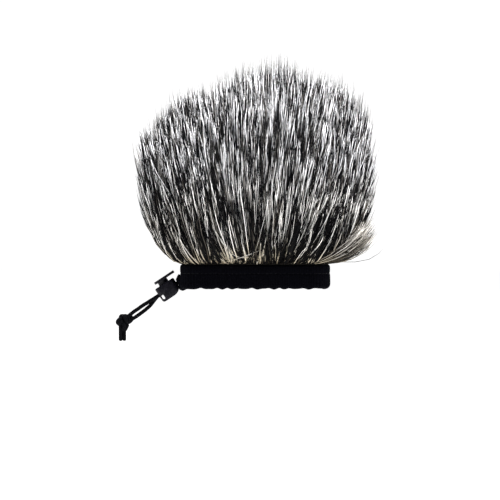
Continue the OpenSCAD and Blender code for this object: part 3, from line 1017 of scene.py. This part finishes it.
def remesh_evenly(shell, cell):
    """Cut long edges until the shell's triangles are about even."""
    bpy.ops.object.mode_set(mode="EDIT")
    for _ in range(5):
        select_in_edit(shell, "EDGE", longer_than(1.6 * cell))
        if not any(edge.select for edge in shell.data.edges):
            break
        bpy.ops.mesh.subdivide(number_cuts=1, quadcorner="INNERVERT")
        bpy.ops.mesh.select_all(action="SELECT")
        bpy.ops.mesh.quads_convert_to_tris()
        bpy.ops.mesh.beautify_fill()
    leave_edit()


def pocket_shell(grow, bottom, top):
    """A closed-topped shell round the pocket, open at the bottom, in even triangles."""
    clear_selection()
    bpy.ops.mesh.primitive_cube_add(size=1)
    shell = bpy.context.object
    for vertex in shell.data.vertices:
        vertex.co.x *= 2 * (MOUTH_HALF_W + grow)
        vertex.co.y *= 2 * (MOUTH_HALF_D + grow)
        vertex.co.z = top if vertex.co.z > 0 else bottom
    bpy.ops.object.mode_set(mode="EDIT")
    select_in_edit(shell, "EDGE", is_upright)
    bpy.ops.mesh.bevel(offset=MOUTH_R + grow, segments=6, affect="EDGES")
    select_in_edit(shell, "EDGE", lambda e, m: all(c.z > top - 0.01 * MM for c in edge_ends(e, m)))
    bpy.ops.mesh.bevel(offset=POCKET_TOP_R, segments=6, affect="EDGES")
    select_in_edit(shell, "FACE", lambda f, m: f.normal.z < -0.9)
    bpy.ops.mesh.delete(type="FACE")
    bpy.ops.mesh.select_all(action="SELECT")
    bpy.ops.mesh.quads_convert_to_tris()
    leave_edit()
    remesh_evenly(shell, CELL)
    return shell


def cut_half(shell, side):
    """A copy of a shell's front (-1) or back (1) half, cut along the middle plane."""
    clear_selection()
    half = new_piece(shell.name, shell.data.copy())
    half.select_set(True)
    bpy.context.view_layer.objects.active = half
    edit_all()
    bpy.ops.mesh.bisect(plane_co=(0, side * 0.05 * MM, 0), plane_no=(0, side, 0), clear_inner=True)
    leave_edit()
    return half


def area_of(piece):
    """A mesh's whole surface, in square metres."""
    return sum(face.area for face in piece.data.polygons)


BACKING_OUT = LINER_T + BACKING_GAP
backing = pocket_shell(BACKING_OUT, FUR_BOTTOM, LINER_TOP + BACKING_GAP)
print("backing", triangle_count(backing), [round(x / MM, 1) for x in backing.dimensions])

# %% [markdown]
# ## Foam and backing
#
# The liner is charcoal open-cell foam, 3 mm thick, and the fur's backing is a thin knit, painted dark as
# shade under the pile.
# Each half gets its wall from Solidify, inwards for the foam and outwards for the knit, so the two layers
# lie against each other.

# %% Make the liner and the backing
def foam_material():
    """Charcoal open-cell foam: pores of about half a millimetre, darker where the surface sinks as painted
    shade, and a dusty surface.
    """
    material, tree, shader = new_material("charcoal_foam", 0.95, 0.1)
    where = add_node(tree, "ShaderNodeTexCoord").outputs["Object"]
    pores = pattern(tree, "ShaderNodeTexVoronoi", where, feature="F1", in_Scale=1900.0, in_Randomness=1.0)
    patches = pattern(tree, "ShaderNodeTexNoise", where, in_Scale=160.0, in_Detail=5.0)
    # The pores' tone darkens where the bump sinks them: painted shade in the pores.
    tones = [(0.1, (0.030, 0.030, 0.032)), (0.7, (0.008, 0.008, 0.009))]
    tone = colour_ramp(tree, pores.outputs["Distance"], tones)
    tree.links.new(multiplied(tree, tone, patches.outputs["Color"], 0.5), shader.inputs["Base Color"])
    raise_surface(tree, shader, pores.outputs["Distance"], 0.8, 0.0003, invert=True)
    return material


KNIT_T = 0.5 * MM
charcoal_foam = foam_material()
# The backing knit's tones are kept dark as painted shade under the pile, and its gaps are darker still.
backing_knit_painted_dark = knit_material("dark_backing_knit", (0.002, 0.002, 0.002), (0.016, 0.014, 0.012), 1.1, 0.9, 0.0)
liner_shell = pocket_shell(LINER_T, liner_low.z, LINER_TOP)
backing_halves = {}
for side, word in ((-1, "front"), (1, "back")):
    foam = cut_half(liner_shell, side)
    finish_with(foam, "SOLIDIFY", thickness=LINER_T, offset=-1)
    bpy.ops.object.shade_smooth_by_angle(angle=math.radians(50))
    keep(foam, f"foam_liner_{word}", charcoal_foam, replaces=[f"liner_{word}"])
    cloth = cut_half(backing, side)
    places = [v.co for v in cloth.data.vertices]
    map_cloth(cloth, [(p.x + side * p.y) / MM for p in places], [(p.z - side * p.y) / MM for p in places])
    cloth_area = area_of(cloth)
    finish_with(cloth, "SOLIDIFY", thickness=KNIT_T, offset=1)
    bpy.ops.object.shade_smooth()
    keep(cloth, f"fur_backing_{word}", backing_knit_painted_dark, replaces=[f"fur_{word}_panel"])
    backing_halves[word] = (cloth, cloth_area)
bpy.data.objects.remove(liner_shell)

# %% [markdown]
# ## The seams over the top
#
# Front and back meet along the middle plane, up one side, over the top and down the other. The
# backing is sewn with single stitches and the foam with crossed ones, which hold it edge to edge.

# %% Sew the hood's seams
def seam_places(out, pitch, bottom):
    """Places along the middle plane: up one side, over the top and down the other."""
    half, top = MOUTH_HALF_W + out, LINER_TOP - LINER_T + out
    bend = POCKET_TOP_R - LINER_T + out
    right = [(half, 0, bottom)]
    for turn in np.radians(np.arange(0, 91, 6)):
        right.append((half - bend + bend * math.cos(turn), 0, top - bend + bend * math.sin(turn)))
    line = np.array(right + [(-x, 0, z) for x, _, z in right[::-1]])
    gone = gone_along(line)
    middles = cut_at(line, gone, np.arange(pitch / 2, gone[-1], pitch))
    aheads = np.gradient(middles, axis=0)
    return [(middle, ahead, np.array((ahead[2], 0, -ahead[0]))) for middle, ahead in zip(middles, aheads)]


SEAM_PITCH = 2.4 * MM
sew("fur_seam_stitches", [
    (middle, ahead, out, 2.1 * MM)
    for middle, ahead, out in seam_places(BACKING_OUT + 0.45 * MM, SEAM_PITCH, FUR_BOTTOM + 1 * MM)
], 0.7 * MM, ["fur_seam_thread"])

CROSSED_SLANT = 0.6
crossed = []
for middle, ahead, out in seam_places(-0.05 * MM, SEAM_PITCH, liner_low.z + 1 * MM):
    for side in (-1, 1):
        slant = ahead + [0, side * CROSSED_SLANT * np.linalg.norm(ahead), 0]
        crossed.append((middle + [0, side * 0.4 * MM, 0], slant, -out, 2.4 * MM))
sew("liner_seam_stitches", crossed, 0.6 * MM, ["liner_seam_thread"])

# %% [markdown]
# ## One hair, modelled once
#
# A fibre of the pile is a long thin cone with three sides. It is cut across at four places so
# that it can bend, and its rings are scaled so that it keeps its width for most of its length
# and thins towards the tip. Every hair of the fur is a copy of this one.

# %% Model the hair
HAIR_RINGS = ((0.0, 0.7), (0.22, 0.95), (0.46, 1.0), (0.69, 0.92), (0.88, 0.62))
clear_selection()
bpy.ops.mesh.primitive_cone_add(vertices=3, radius1=1, radius2=0, depth=1, location=(0, 0, 0.5))
hair = bpy.context.object
bpy.ops.object.transform_apply(location=True)
bpy.ops.object.mode_set(mode="EDIT")
for height, _ in HAIR_RINGS[1:]:
    bpy.ops.mesh.select_all(action="SELECT")
    bpy.ops.mesh.bisect(plane_co=(0, 0, height), plane_no=(0, 0, 1))
leave_edit()
for vertex in hair.data.vertices:
    for height, wide in HAIR_RINGS:
        if abs(vertex.co.z - height) < 1e-4:
            vertex.co.x, vertex.co.y = vertex.co.xy.normalized() * wide
hair_points = np.array([v.co for v in hair.data.vertices])
hair_faces = [tuple(f.vertices) for f in hair.data.polygons]
bpy.data.objects.remove(hair)
print("one hair:", len(hair_points), "points,", sum(len(f) - 2 for f in hair_faces), "triangles")

# %% [markdown]
# ## The shape the pile is combed to
#
# The pile's outline, seen from the front, is close to a circle round a point in the upper part
# of the pocket, with a taller crown and a fuller shoulder on one side. From the side it is
# narrower. A hair's length follows from it: it runs from its root until it meets this outline.

# %% Define the outline
CROWN = np.array([0, 0, 50]) * MM
PILE_HALF_DEPTH = 46 * MM
ROUNDNESS = 2.3
SHORTEST = 15 * MM
OUTLINE = [  # degrees from straight up, and how far the pile stands there, in millimetres
    (-180, 46), (-129, 59.5), (-121, 60), (-110, 60.3), (-96, 62.3), (-81, 63.5), (-70, 68.7),
    (-62, 69.5), (-52, 67), (-44, 68.5), (-36, 69), (-27, 64.7), (-18, 63.7), (-10, 66.2), (0, 68.5),
    (11, 72.5), (22, 70.3), (33, 75.5), (44, 78), (52, 75.8), (63, 70.7), (77, 67), (91, 64),
    (105, 65.5), (115, 60), (128, 58), (180, 46),
]


def outline_radius(points):
    """The pile's outline radius in the direction of each point, seen from the crown's centre."""
    angle = np.degrees(np.arctan2(points[:, 0], points[:, 2] - CROWN[2]))
    return MM * np.interp(angle, *np.array(OUTLINE).T)


def how_far_out(points):
    """1 on the outline, less inside it."""
    away = points - CROWN
    seen = np.hypot(away[:, 0], away[:, 2]) / outline_radius(points)
    through = np.abs(away[:, 1]) / PILE_HALF_DEPTH
    return (seen**ROUNDNESS + through**ROUNDNESS) ** (1 / ROUNDNESS)


def length_to_outline(roots, directions):
    """How far each root is from the outline along its direction, by halving."""
    low, high = np.zeros(len(roots)), np.full(len(roots), 120 * MM)
    for _ in range(18):
        middle = (low + high) / 2
        inside = how_far_out(roots + directions * middle[:, None]) < 1
        low, high = np.where(inside, middle, low), np.where(inside, high, middle)
    return np.maximum(low, SHORTEST)


print("the crown stands", CROWN[2] / MM + max(r for a, r in OUTLINE if abs(a) < 20), "mm above the rim")

# %% [markdown]
# ## Roots and clumps
#
# Roots are scattered evenly over the backing. The pile is combed nearly level above the cuff and
# upright at the top, and always a little outwards. Fur isn't even: neighbouring hairs cling
# together in clumps that share a direction, a length and a tint, so the clumps come first.

# %% Scatter and comb the clumps
rng = np.random.default_rng(7)
shell_points = np.array([v.co for v in backing.data.vertices])
shell_faces = np.array([f.vertices for f in backing.data.polygons])


def scatter(count, weight=None):
    """Random points on the backing, with the normals there."""
    a, b, c = [shell_points[shell_faces[:, k]] for k in range(3)]
    normals = np.cross(b - a, c - a)
    area = np.linalg.norm(normals, axis=1)
    if weight is not None:
        area = area * weight((a + b + c) / 3)
    pick = rng.choice(len(area), count, p=area / area.sum())
    s, t = rng.random((2, count, 1))
    s, t = np.where(s + t > 1, 1 - s, s), np.where(s + t > 1, 1 - t, t)
    roots = a[pick] + s * (b - a)[pick] + t * (c - a)[pick]
    return roots, unit(normals[pick])


def soft_waves(points, seed, size):
    """A smooth random vector for each point, from a few waves that cross."""
    waves = np.random.default_rng(seed)
    total = np.zeros((len(points), 3))
    for _ in range(6):
        pitch = waves.normal(size=3) / size
        phase = waves.random(3) * 2 * math.pi
        total += np.sin((points @ pitch)[:, None] + phase) * waves.normal(size=3)
    return total / 3


LEAN_AT_TOP, LEAN_ADDED_LOW = 14, 19
DEPTH_SPLAY = 1.15


def combing(roots):
    """The direction in which the pile at each root is combed."""
    across = roots[:, 0] / (MOUTH_HALF_W + BACKING_OUT)
    through = roots[:, 1] / (MOUTH_HALF_D + BACKING_OUT)
    height = np.clip((roots[:, 2] - FUR_BOTTOM) / (LINER_TOP - FUR_BOTTOM), 0, 1)
    flat = np.stack([across, DEPTH_SPLAY * through, np.zeros(len(roots))], axis=1)
    out = np.minimum(np.linalg.norm(flat, axis=1), 1.2)
    lean = np.radians(out * (LEAN_AT_TOP + LEAN_ADDED_LOW * (1 - height)))
    return unit(flat) * np.sin(lean)[:, None] + [0, 0, 1] * np.cos(lean)[:, None]


CLUMPS = 7000
clump_roots, _ = scatter(CLUMPS)
astray = 0.12 * rng.normal(size=(CLUMPS, 3)) + 0.13 * soft_waves(clump_roots, 3, 8 * MM)
clump_combed = unit(combing(clump_roots) + astray)
clump_share = np.clip(rng.normal(0.95, 0.08, CLUMPS), 0.7, 1.08)
clump_length = length_to_outline(clump_roots, clump_combed) * clump_share
clump_tint = rng.random(CLUMPS) + 0.10 * soft_waves(clump_roots * [1, 1, 0.5], 11, 1.8 * MM)[:, 0]
clump_tree = kdtree.KDTree(CLUMPS)
for i, root in enumerate(clump_roots):
    clump_tree.insert(root, i)
clump_tree.balance()
print("clumps:", CLUMPS, "of", round(clump_length.mean() / MM, 1), "mm on average")

# %% [markdown]
# ## Growing hairs
#
# Each hair is one Bezier curve. It starts along the backing's outward normal, bends over to its
# combing direction and ends upright, with its tip drawn towards its clump's tip. Tints are
# ranked, so that the shares of dark and light fibres are exact whatever the clumps add.

# %% Grow one kind of hair
LONGEST_SHARE = 1.17
TUFT_LENGTH = 27 * MM
ROOT_DEPTH = 0.4 * MM
ROOT_HANDLE, TIP_HANDLE = 0.36, 0.42


def ranked(values):
    """Each value's place in their order, from 0 to 1."""
    return (np.argsort(np.argsort(values)) + 0.5) / len(values)


def grow(count, share, spread, gather, width, bright, locks, where=None, sweep_to=None):
    """Curves, widths and tints of one kind of hair.

    share is how far it reaches towards the outline, and its spread. gather draws tips together,
    width is in millimetres, bright shifts the tints, and locks is how much a clump sets them.
    """
    roots, normals = scatter(count, where)
    clump = np.array([clump_tree.find(r)[1] for r in roots])
    combed = 0.6 * combing(roots) + 0.4 * clump_combed[clump] if sweep_to is None else np.array(sweep_to)
    combed = unit(combed + spread * rng.normal(size=(count, 3)))
    reach = length_to_outline(roots, combed) if sweep_to is None else TUFT_LENGTH
    reach = reach * np.clip(rng.normal(share[0], share[1], count), 0.15, LONGEST_SHARE)
    tips = roots + combed * reach[:, None]
    together = clump_roots[clump] + clump_combed[clump] * np.minimum(clump_length[clump], reach)[:, None]
    tips = tips + gather * (together - tips)
    chord = tips - roots
    length = np.linalg.norm(chord, axis=1, keepdims=True)
    along = chord / length
    start = unit(normals + 0.30 * along + 0.08 * rng.normal(size=(count, 3)))
    end = unit(0.6 * along + [0, 0, 0.5] + 0.05 * rng.normal(size=(count, 3)))
    leaving, arriving = roots + ROOT_HANDLE * length * start, tips - TIP_HANDLE * length * end
    bezier = [roots - ROOT_DEPTH * normals, leaving, arriving, tips]
    tint = np.clip(ranked((1 - locks) * rng.random(count) + locks * clump_tint[clump]) + bright, 0, 0.9999)
    thick = width * MM * np.clip(rng.normal(1, 0.25, count), 0.5, 1.8)
    return np.stack(bezier, axis=1), thick, tint


print("tips are drawn in by their clumps, and no hair passes", LONGEST_SHARE, "times its way out")

# %% [markdown]
# ## Hairs as a mesh
#
# Tens of thousands of hairs would be far too slow to add one by one, so their points are worked
# out together and each piece of the pile is filled in as one mesh. The map's first direction is
# cut into strips, one for each tint, and its second runs from root to tip.

# %% Bend copies of the hair
TINT_STRIPS = 64
SWAYS = 1.6


def hair_places(knots, wave):
    """Where each hair's middle line is at the model hair's heights, with a slight wave."""
    v = hair_points[:, 2]
    weights = np.stack([(1 - v) ** 3, 3 * v * (1 - v) ** 2, 3 * v**2 * (1 - v), v**3], axis=1)
    middle = np.einsum("pk,hkx->hpx", weights, knots)
    slope = np.stack([-3 * (1 - v) ** 2, 3 * (1 - v) * (1 - 3 * v), 3 * v * (2 - 3 * v), 3 * v**2], axis=1)
    tangent = unit(np.einsum("pk,hkx->hpx", slope, knots))
    hint = unit(rng.normal(size=(len(knots), 1, 3)))
    side = unit(np.cross(tangent, hint))
    up = np.cross(side, tangent)
    turn = rng.random((len(knots), 1)) * 2 * math.pi
    sway = wave[:, None] * v[None, :] * np.sin(2 * math.pi * SWAYS * v[None, :] + turn)
    return middle + sway[:, :, None] * side, side, up


def hair_mesh(name, points, count):
    """One mesh of many hairs from their points, with the model hair's faces for each."""
    faces = [np.array([f for f in hair_faces if len(f) == n]) for n in (3, 4)]
    firsts = len(hair_points) * np.arange(count)[:, None, None]
    loops = np.concatenate([(f[None] + firsts).reshape(-1) for f in faces])
    totals = np.concatenate([np.full(len(f) * count, n) for f, n in zip(faces, (3, 4))])
    starts = np.concatenate([[0], np.cumsum(totals)[:-1]])
    mesh = bpy.data.meshes.new(name)
    mesh.vertices.add(len(points))
    mesh.vertices.foreach_set("co", points.astype(np.float32).ravel())
    mesh.loops.add(len(loops))
    mesh.loops.foreach_set("vertex_index", loops.astype(np.int32))
    mesh.polygons.add(len(totals))
    mesh.polygons.foreach_set("loop_start", starts.astype(np.int32))
    mesh.polygons.foreach_set("use_smooth", np.ones(len(totals), bool))
    mesh.update(calc_edges=True)
    return mesh, loops


def hair_piece(name, knots, thick, tint, wave, material):
    """Copies of the model hair, bent along their curves, as one piece with a tint and height map."""
    middle, side, up = hair_places(knots, wave)
    across = hair_points[None, :, 0, None] * side + hair_points[None, :, 1, None] * up
    points = (middle + thick[:, None, None] * across).reshape(-1, 3)
    mesh, loops = hair_mesh(name, points, len(knots))
    strip = np.floor(tint * TINT_STRIPS)[:, None]
    around = 0.5 + 0.35 * hair_points[:, 0] / max(abs(hair_points[:, 0]))
    u = ((strip + around[None, :]) / TINT_STRIPS).reshape(-1)
    v = np.tile(0.02 + 0.96 * hair_points[:, 2], len(knots))
    uv = np.stack([u[loops], v[loops]], axis=1)
    mesh.uv_layers.new(name="OFBake").data.foreach_set("uv", uv.astype(np.float32).ravel())
    return keep(new_piece(name, mesh), name, material)


print("tint strips in the fur's map:", TINT_STRIPS)

# %% [markdown]
# ## The fur's colours
#
# The pile mixes near-black, grey-brown and white fibres. One material colours them all: the map's first
# direction picks a fibre's own tone, its second darkens every fibre towards brown at its root and lets it
# reach its full tone at its tip, and the fur is warmer near the cuff.

# %% Paint the fur
WARM_FROM, WARM_TO = 0.016, 0.066


def fur_material():
    """Salt-and-pepper fibres, from the tint and height map and the height above the rim."""
    material, tree, shader = new_material("grey_fur", 0.55, 0.05)
    where = add_node(tree, "ShaderNodeUVMap", uv_map="OFBake")
    split = pattern(tree, "ShaderNodeSeparateXYZ", where.outputs["UV"])
    fibre = colour_ramp(tree, split.outputs["X"], [
        (0.00, (0.0005, 0.0005, 0.0008)), (0.67, (0.002, 0.002, 0.003)), (0.73, (0.024, 0.022, 0.019)),
        (0.79, (0.125, 0.116, 0.104)), (0.84, (0.480, 0.466, 0.450)), (0.89, (0.940, 0.940, 0.950)),
        (1.00, (0.980, 0.980, 0.990)),
    ])
    root = colour_ramp(tree, split.outputs["Y"], [
        (0.00, (0.26, 0.23, 0.17)), (0.14, (0.44, 0.40, 0.32)), (0.34, (0.56, 0.53, 0.46)),
        (0.58, (0.64, 0.65, 0.68)), (0.88, (1.0, 1.0, 1.0)),
    ])
    place = add_node(tree, "ShaderNodeTexCoord").outputs["Object"]
    height = pattern(tree, "ShaderNodeSeparateXYZ", place)
    rise = add_node(tree, "ShaderNodeMapRange", in_From_Min=WARM_FROM, in_From_Max=WARM_TO)
    tree.links.new(height.outputs["Z"], rise.inputs["Value"])
    tones = [(0.0, (1.0, 0.95, 0.85)), (1.0, (0.98, 0.98, 1.0))]
    warmth = colour_ramp(tree, rise.outputs["Result"], tones)
    tree.links.new(multiplied(tree, multiplied(tree, fibre, root), warmth), shader.inputs["Base Color"])
    return material


grey_fur = fur_material()
print("the fur is warmer below", WARM_TO / MM, "mm above the rim")

# %% [markdown]
# ## The kinds of hair
#
# Long guard hairs make the outline, shorter ones fill it, and underfur fills its depth; the middle hairs'
# and the underfur's tints are shifted darker as painted shade in that depth.
# Strays, wisps on the crown, short fibres at the foot, one tuft at a lower corner and a few
# loose pale fibres across the cuff keep it from looking machine-made. Where a kind grows more
# densely is a weight on the backing's faces.

# %% Choose where each kind grows
def near_the_crown(places):
    """More roots near the middle of the top, where the longest fibres stand."""
    return np.exp(-(((places[:, 0] - 8 * MM) / (22 * MM)) ** 2)) * (places[:, 2] > 50 * MM)


def near_the_foot(places):
    """More roots just above the cuff, where short fibres hide the join."""
    return np.exp(-(places[:, 2] - FUR_BOTTOM) / (3 * MM))


def low_corner(places):
    """Only roots at the front's lower right corner, where one tuft sticks out."""
    return (places[:, 0] > 31 * MM) * (places[:, 1] < -4 * MM) * (places[:, 2] < 22 * MM) + 1e-9


def loose_fibres(count):
    """Long pale fibres that lie nearly level across the pile's foot, front and back."""
    across = rng.uniform(-33, 36, count)
    outside = rng.uniform(-24, -21, count)
    start = np.stack([across, outside, rng.uniform(14.6, 17, count)], axis=1)
    long = rng.uniform(14, 30, count) * np.where(start[:, 0] > -6, -1, 1)
    rise = rng.uniform(3, 13, count)
    step = np.stack([long / 3, np.zeros(count), rise / 3], axis=1)
    bulge = np.stack([np.zeros(count), rng.uniform(-8, -5, count), rng.uniform(-1.5, 1, count)], axis=1)
    bezier = [start, start + step + bulge, start + 2 * step + bulge, start + 3 * step + 0.8 * bulge]
    knots = np.stack(bezier, axis=1) * MM
    knots[::3, :, 1] *= -1
    return knots, np.full(count, 0.13 * MM), rng.uniform(0.86, 0.99, count)


LOOSE = 13
TUFT = 420
kinds = {
    "guard": grow(30000, (0.95, 0.09), 0.05, 0.50, 0.21, 0.0, 0.33),
    # The middle and under hairs' negative tint shifts are painted shade in the pile's depth.
    "middle": grow(16000, (0.80, 0.13), 0.07, 0.45, 0.21, -0.06, 0.33),
    "under": grow(8500, (0.50, 0.12), 0.13, 0.25, 0.2, -0.35, 0.3),
    "stray": grow(1500, (0.93, 0.10), 0.17, 0.0, 0.15, 0.14, 0.1),
    "wisp": grow(1100, (1.14, 0.09), 0.06, 0.2, 0.13, 0.0, 0.2, near_the_crown),
    "foot": grow(3200, (0.45, 0.20), 0.12, 0.1, 0.17, 0.0, 0.2, near_the_foot),
    "tuft": grow(TUFT, (0.95, 0.14), 0.09, 0.0, 0.18, 0.0, 0.0, low_corner, (0.80, -0.20, 0.52)),
    "loose": loose_fibres(LOOSE),
}
kinds["tuft"] = (*kinds["tuft"][:2], 0.68 + 0.2 * rng.random(TUFT))
print({name: len(kind[0]) for name, kind in kinds.items()})

# %% [markdown]
# ## The pile, front and back
#
# All hairs are put together, given a slight wave, and shared out to front and back pieces that are small
# enough to export whole.

# %% Grow the pile
HAIRS_A_PIECE = 7000
WAVE = 0.5
LOOSE_WAVES = 3
knots, thick, tint = (np.concatenate([kind[k] for kind in kinds.values()]) for k in range(3))
wave = MM * np.abs(rng.normal(0, WAVE, len(knots)))
wave[-LOOSE:] *= LOOSE_WAVES
front = knots[:, 0, 1] < 0
for word, chosen in (("front", front), ("back", ~front)):
    rows = np.flatnonzero(chosen)
    for i, part in enumerate(np.array_split(rows, math.ceil(len(rows) / HAIRS_A_PIECE))):
        name = f"fur_pile_{word}_{i + 1}"
        hair_piece(name, knots[part], thick[part], tint[part], wave[part], grey_fur)
    cloth, cloth_area = backing_halves[word]
bpy.data.objects.remove(backing)
